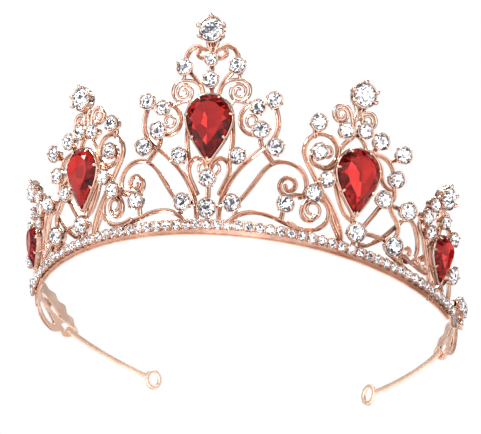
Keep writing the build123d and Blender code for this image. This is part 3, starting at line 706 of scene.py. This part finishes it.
def gem_setting(shape, at, size):
    corners = pear(size, 1.0)
    band_of(shape, at, corners, 1.07, 0.70, 0.0, 0.5, 0.1)
    band_of(shape, at, corners, 1.085, 1.0, 0.0, 1.72, 0.22)
    band_of(shape, at, corners, 1.10, 1.05, 0.3, 0.75, 0.15)
    for i in (1, 3, 5, 7, 9, 13):
        x, y = corners[i]
        claw(shape, at, atan2(y, x), sqrt(x * x + y * y) * 1.045, 0.42, 0.2, 2.35, 0.55)
    x, y = corners[11]
    claw(shape, at, atan2(y, x), -y * 1.03, 0.42, 0.2, 2.35, 0.7)


def gem(shape, at, size):
    brilliant(shape, at, pear(size, 0.985), 0.5, 1.8, 2.75, 3.35, 0.84, 0.68, 0.45, 0.22)


def filigree(shape, at, thick, fine, stones, gem_at=None, gem_size=None, top_at=None):
    for i, path in enumerate(thick):
        sweep(shape, at, path, THICK, lift=0.03 * (i % 4))
    for i, path in enumerate(fine):
        sweep(shape, at, path, THIN, lift=0.02 * (i % 3), step=0.3)
    for u, v, size in stones:
        r = size / 2 * 0.85
        shape.lathe(moved(at, u, v, 0), [(0.001, -.62), (r - .12, -.62), (r, -.5), (r, .6), (0.001, .6)], 20)
    if gem_at:
        band_of(shape, moved(at, *gem_at, 0), pear(gem_size, 1.0), 1.0, 0.7, -0.64, 0.64, 0.12)
    if top_at:
        u, v = top_at
        r = TOP_STONE / 2
        button = [(0.001, -.62), (r - .4, -.62), (r - .1, -.3), (r, .6), (0.001, .6)]
        shape.lathe(moved(at, u, v, 0), button, 24)
        for s in (-1, 1):
            sweep(shape, at, [(s * 1.5, v - r + 0.4), (s * 0.95, v - r - 0.9), (s * 0.8, v - r - 2.0),
                              (s * 1.15, v - r - 3.1)], THIN, scale=1.1)
        sweep(shape, at, [(-1.3, v - r - 1.0), (1.3, v - r - 1.0)], THIN)
        sweep(shape, at, [(-1.4, v - r - 3.0), (1.4, v - r - 3.0)], THIN)


def mirrored(paths):
    """The same paths on the other side of the panel axis."""
    return [[(-u, v) for u, v in path] for path in paths]


def show(shape, node, materials, smooth=True):
    """Makes the object that stands for one CAD node."""
    obj = shape.finish("vis_" + node, materials, smooth)
    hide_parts(node)
    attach(obj, "root")


# ---------------------------------------------------------------- band

def band_piece():
    shape = Shape()
    half, edge = BAND_THICKNESS / 2 - 0.12, 0.2
    slope = tan(radians(BAND_LEAN))
    section = [(-half + edge, 0), (half - edge, 0), (half, edge), (half, 1.75), (half - 0.12, 1.9),
               (half - 0.12, 2.3),
               (half, 2.45), (half, BAND_HEIGHT - edge), (half - edge, BAND_HEIGHT),
               (-half + edge, BAND_HEIGHT),
               (-half, BAND_HEIGHT - edge), (-half, edge)]
    total = length_at(LEAF_START)
    count = 150
    rings = []
    for k in range(count + 1):
        s = -total + 2 * total * k / count
        side = -1 if s < 0 else 1
        heading = heading_at(abs(s))
        h = radians(heading)
        out = Vector((sin(h), -cos(h), 0))
        base = foot(heading)
        rings.append([shape.bm.verts.new(place(base + out * (x + z * slope) + Vector((0, 0, z)), side))
                      for x, z in section])
    shape.tube(rings)
    n = len(section)
    for k, f in enumerate(shape.bm.faces):
        f.material_index = 1 if k < count * n and k % n in (0, 9, 10, 11) else 0
    return shape


show(band_piece(), "base_band", [POLISHED, SATIN])

cups, stones = Shape(), Shape()
for number in range(-BAND_STONES_PER_SIDE, BAND_STONES_PER_SIDE + 1):
    side = -1 if number < 0 else 1
    at = stone_map(heading_at(abs(number) * BAND_PITCH), side)
    cup(cups, at, BAND_STONE + 0.12)
    crystal(stones, moved(at, 0, 0, 0, random.uniform(0, 1)), BAND_STONE + 0.22)
    if number < BAND_STONES_PER_SIDE:
        link = stone_map(heading_at(abs(number + 0.5) * BAND_PITCH), side)
        for v in (-0.75, 0.75):
            cups.ball(moved(link, 0, v, 0.95), 0.3, 5, 8)
show(cups, "band_cups", [POLISHED])
show(stones, "band_crystals", [CLEAR], smooth=False)


# ---------------------------------------------------------------- panels

def panel(prefix, at, thick, fine, stones, gem_at, gem_size, top_at):
    shape = Shape()
    filigree(shape, at, thick, fine, stones, gem_at, gem_size, top_at)
    show(shape, prefix + "_filigree", [POLISHED])
    cups, crystals = Shape(), Shape()
    for u, v, size in stones:
        turn = random.uniform(0, 90)
        cup(cups, moved(at, u, v, PLATE / 2), size, turn=turn)
        crystal(crystals, moved(at, u, v, PLATE / 2, random.uniform(0, 1)), size)
    show(cups, prefix + "_cups", [POLISHED])
    show(crystals, prefix + "_crystals", [CLEAR], smooth=False)
    seat = moved(at, *gem_at, PLATE / 2)
    shape = Shape()
    gem_setting(shape, seat, gem_size)
    show(shape, prefix + "_gem_setting", [POLISHED])
    shape = Shape()
    gem(shape, seat, gem_size)
    show(shape, prefix + "_gem", [RED_CROWN, RED_TABLE], smooth=False)
    seat = moved(at, *top_at, PLATE / 2)
    shape = Shape()
    top_setting(shape, seat, TOP_STONE)
    show(shape, prefix + "_top_setting", [POLISHED])
    shape = Shape()
    crystal(shape, moved(seat, 0, 0, 0, 0.3), TOP_STONE)
    show(shape, prefix + "_top_crystal", [CLEAR], smooth=False)


centre_stones = CENTRE_PAIRS + [(-u, v, d) for u, v, d in CENTRE_PAIRS] + CENTRE_AXIS_STONES
panel("centre", panel_map(0), CENTRE_WIRES + mirrored(CENTRE_WIRES) + CENTRE_AXIS_WIRES,
      CENTRE_FINE + mirrored(CENTRE_FINE), centre_stones, CENTRE_GEM_AT, BIG_GEM, CENTRE_TOP_AT)

for name, side in (("right_", 1), ("left_", -1)):
    panel(name + "inner", panel_map(INNER_HEADING, side), INNER_WIRES, INNER_FINE, INNER_STONES,
          INNER_GEM_AT, BIG_GEM, INNER_TOP_AT)
    panel(name + "outer", panel_map(OUTER_HEADING, side), OUTER_WIRES, OUTER_FINE, OUTER_STONES,
          OUTER_GEM_AT, SMALL_GEM, OUTER_TOP_AT)

    at = panel_map(LINK_HEADING, side)
    shape = Shape()
    filigree(shape, at, LINK_WIRES, [], LINK_STONES)
    show(shape, name + "link_scroll", [POLISHED])
    u, v, size = LINK_STONES[0]
    shape = Shape()
    cup(shape, moved(at, u, v, PLATE / 2), size)
    show(shape, name + "link_cup", [POLISHED])
    shape = Shape()
    crystal(shape, moved(at, u, v, PLATE / 2, 0.4), size)
    show(shape, name + "link_crystal", [CLEAR], smooth=False)

    shape = Shape()
    filigree(shape, panel_map(SIDE_LINK_HEADING, side), SIDE_LINK_WIRES, [], [])
    show(shape, name + "side_link_scroll", [POLISHED])


# ---------------------------------------------------------------- leaf ends

def leaf_piece(at):
    """Pierced plate with rounded edges, laid on the curved wall; polished outside, satin inside."""
    flat = bpy.data.curves.new("leaf_flat", "CURVE")
    flat.dimensions = "2D"
    flat.fill_mode = "BOTH"
    for loop in [LEAF_OUTLINE] + LEAF_OPENINGS:
        n = len(loop)
        pts = [outline_at(loop, i / 5) for i in range(n * 5)]
        spline = flat.splines.new("POLY")
        spline.points.add(len(pts) - 1)
        for q, p in zip(spline.points, pts):
            q.co = (p.x, p.y, 0, 1)
        spline.use_cyclic_u = True
    flat.extrude = BAND_THICKNESS / 2 - 0.22
    flat.bevel_depth = 0.22
    flat.bevel_resolution = 2
    flat.offset = -0.2
    temp = bpy.data.objects.new("leaf_flat", flat)
    bpy.context.scene.collection.objects.link(temp)
    mesh = bpy.data.meshes.new_from_object(temp.evaluated_get(bpy.context.evaluated_depsgraph_get()))
    bpy.data.objects.remove(temp)
    bpy.data.curves.remove(flat)
    shape = Shape()
    shape.bm.from_mesh(mesh)
    bpy.data.meshes.remove(mesh)
    bm = shape.bm
    bmesh.ops.remove_doubles(bm, verts=bm.verts, dist=0.0005)
    bmesh.ops.triangulate(bm, faces=bm.faces)
    for _ in range(7):
        long = [e for e in bm.edges if e.calc_length() > 1.0]
        if not long:
            break
        bmesh.ops.subdivide_edges(bm, edges=long, cuts=1)
        bmesh.ops.triangulate(bm, faces=bm.faces)
    for f in bm.faces:
        f.material_index = 1 if f.calc_center_median().z < -BAND_THICKNESS / 2 + 0.05 else 0
    for vert in bm.verts:
        vert.co = at(*vert.co)
    return shape


for name, side in (("right_", 1), ("left_", -1)):
    at = leaf_map(side)
    show(leaf_piece(at), name + "leaf_end", [POLISHED, SATIN])
    cups, crystals = Shape(), Shape()
    for heading, height, size in LEAF_STONES:
        t = radians(heading)
        tangent = Vector((cos(t), sin(t), 0))
        out = tangent.cross(upright(heading)).normalized()
        up = out.cross(tangent)
        origin = foot(heading) + up * height + out * (BAND_THICKNESS / 2)

        def seat(u, v, w, origin=origin, tangent=tangent, up=up, out=out, side=side):
            return place(origin + tangent * u + up * v + out * w, side)
        cup(cups, seat, size)
        crystal(crystals, moved(seat, 0, 0, 0, 0.5), size)
    show(cups, name + "leaf_cups", [POLISHED])
    show(crystals, name + "leaf_crystals", [CLEAR], smooth=False)

    # end wire and its eyelet
    shape = Shape()
    h = radians(END_WIRE_START)
    start = foot(END_WIRE_START) - Vector((sin(h), -cos(h), 0)) * END_WIRE_INSET
    centre = start - Vector((sin(h), -cos(h), 0)) * END_WIRE_RADIUS
    h = radians(END_WIRE_TAIL)
    tail = foot(END_WIRE_TAIL) - Vector((sin(h), -cos(h), 0)) * END_WIRE_INSET
    stations = [(tail + (start - tail) * k / 4, (start - tail).normalized()) for k in range(4)]
    for k in range(41):
        a = radians(END_WIRE_START - 90 + END_WIRE_TURN * k / 40)
        spot = centre + Vector((cos(a), sin(a), 0)) * END_WIRE_RADIUS
        stations.append((spot, Vector((-sin(a), cos(a), 0))))
    section = [(-.6, -.75), (-.45, -1.0), (.45, -1.0), (.6, -.75), (.6, .75), (.45, 1.0),
               (-.45, 1.0), (-.6, .75)]
    rings = []
    for p, t in stations:
        out = Vector((t.y, -t.x, 0))
        rings.append([shape.bm.verts.new(place(p + out * a + Vector((0, 0, END_WIRE_RISE + b)), side))
                      for a, b in section])
    shape.tube(rings)
    eyelet = MOUNTS[name + "eyelet"]
    hole = eyelet["dims"]["r_mm"]
    middle, axis = Vector(eyelet["pos_m"]), Vector(eyelet["axis"]).normalized()
    across = axis.cross(Vector((0, 0, 1)))

    def ring_at(u, v, w, middle=middle, axis=axis, across=across):
        return middle + (across * u + Vector((0, 0, v)) + axis * w) * MM
    shape.lathe(ring_at, [(hole, -.5), (hole + .25, -.76), (hole + 1.3, -.76), (hole + 1.6, -.5),
                          (hole + 1.6, .5), (hole + 1.3, .76), (hole + .25, .76), (hole, .5)], 48)
    show(shape, name + "end_wire", [SATIN])


# ---------------------------------------------------------------- stage

def stage_floor():
    """Pale floor that is only there from above, so that the low camera sees past it."""
    mat, nodes, links, bsdf = new_material("stage_floor")
    where = nodes.new("ShaderNodeTexCoord")
    noise = nodes.new("ShaderNodeTexNoise")
    noise.inputs["Scale"].default_value = 6.0
    links.new(where.outputs["Object"], noise.inputs["Vector"])
    tint = ramp(nodes, [(0.3, (0.88, 0.88, 0.88)), (0.7, (0.92, 0.92, 0.92))])
    links.new(noise.outputs["Fac"], tint.inputs["Fac"])
    links.new(tint.outputs["Color"], bsdf.inputs["Base Color"])
    bsdf.inputs["Roughness"].default_value = 0.8
    clear = nodes.new("ShaderNodeBsdfTransparent")
    geometry = nodes.new("ShaderNodeNewGeometry")
    light = nodes.new("ShaderNodeLightPath")
    either = nodes.new("ShaderNodeMath")
    either.operation = "MAXIMUM"
    links.new(geometry.outputs["Backfacing"], either.inputs[0])
    links.new(light.outputs["Is Shadow Ray"], either.inputs[1])
    mix = nodes.new("ShaderNodeMixShader")
    links.new(either.outputs["Value"], mix.inputs["Fac"])
    links.new(bsdf.outputs["BSDF"], mix.inputs[1])
    links.new(clear.outputs["BSDF"], mix.inputs[2])
    links.new(mix.outputs["Shader"], nodes["Material Output"].inputs["Surface"])
    mesh = bpy.data.meshes.new("floor")
    size = 3.0
    z = BASE.z - 0.0002
    corners = [(-size, -size, z), (size, -size, z), (size, size, z), (-size, size, z)]
    mesh.from_pydata(corners, [], [(0, 1, 2, 3)])
    mesh.materials.append(mat)
    floor = bpy.data.objects.new("floor", mesh)
    bpy.context.scene.collection.objects.link(floor)


stage_floor()

bpy.context.scene.view_settings.view_transform = "Standard"

world = bpy.data.worlds.new("studio")
bpy.context.scene.world = world
world.use_nodes = True
wn, wl = world.node_tree.nodes, world.node_tree.links
backdrop = wn["Background"]
backdrop.inputs["Color"].default_value = (1, 1, 1, 1)
backdrop.inputs["Strength"].default_value = 1.0
room = wn.new("ShaderNodeBackground")
room.inputs["Strength"].default_value = 0.9
where = wn.new("ShaderNodeTexCoord")
bands = wn.new("ShaderNodeTexNoise")
bands.inputs["Scale"].default_value = 3.4
bands.inputs["Detail"].default_value = 1.0
wl.new(where.outputs["Generated"], bands.inputs["Vector"])
tones = ramp(wn, [(0.40, (0.03, 0.025, 0.025)), (0.5, (0.5, 0.49, 0.48)), (0.6, (1.0, 1.0, 1.0))])
wl.new(bands.outputs["Fac"], tones.inputs["Fac"])
wl.new(tones.outputs["Color"], room.inputs["Color"])
path = wn.new("ShaderNodeLightPath")
mix = wn.new("ShaderNodeMixShader")
wl.new(path.outputs["Is Camera Ray"], mix.inputs["Fac"])
wl.new(room.outputs["Background"], mix.inputs[1])
wl.new(backdrop.outputs["Background"], mix.inputs[2])
wl.new(mix.outputs["Shader"], wn["World Output"].inputs["Surface"])


def lamp(name, place_at, target, size, power):
    light = bpy.data.lights.new(name, "AREA")
    light.shape = "DISK"
    light.size = size
    light.energy = power
    obj = bpy.data.objects.new(name, light)
    obj.location = place_at
    obj.rotation_mode = "QUATERNION"
    obj.rotation_quaternion = (target - obj.location).to_track_quat("-Z", "Y")
    bpy.context.scene.collection.objects.link(obj)


middle = (CAD_LOW + CAD_HIGH) / 2
lamp("key_front_left", middle + Vector((-0.35, -0.55, 0.25)), middle, 0.22, 5.0)
lamp("key_front_right", middle + Vector((0.45, -0.5, -0.1)), middle, 0.16, 3.0)
lamp("low_front", middle + Vector((0.05, -0.4, -0.5)), middle, 0.3, 3.5)
lamp("top", middle + Vector((0.1, 0.1, 0.7)), middle, 0.35, 5.0)

# ---------------------------------------------------------------- camera
AZ, EL, ROLL = radians(12.48), radians(-35.36), radians(8.56)
back = Vector((sin(AZ) * cos(EL), -cos(AZ) * cos(EL), sin(EL)))
right0 = (-back).cross(Vector((0, 0, 1))).normalized()
up0 = right0.cross(-back)
right = right0 * cos(ROLL) + up0 * sin(ROLL)
up = up0 * cos(ROLL) - right0 * sin(ROLL)
data = bpy.data.cameras.new("main")
data.lens = 45.45
data.sensor_width = 36.0
camera = bpy.data.objects.new("main", data)
spot = BASE + Vector((38.0, -133.3, -90.7)) * MM
camera.matrix_world = Matrix.Translation(spot) @ Matrix((right, up, back)).transposed().to_4x4()
bpy.context.scene.collection.objects.link(camera)
bpy.context.scene.camera = camera
data.clip_start = 0.01
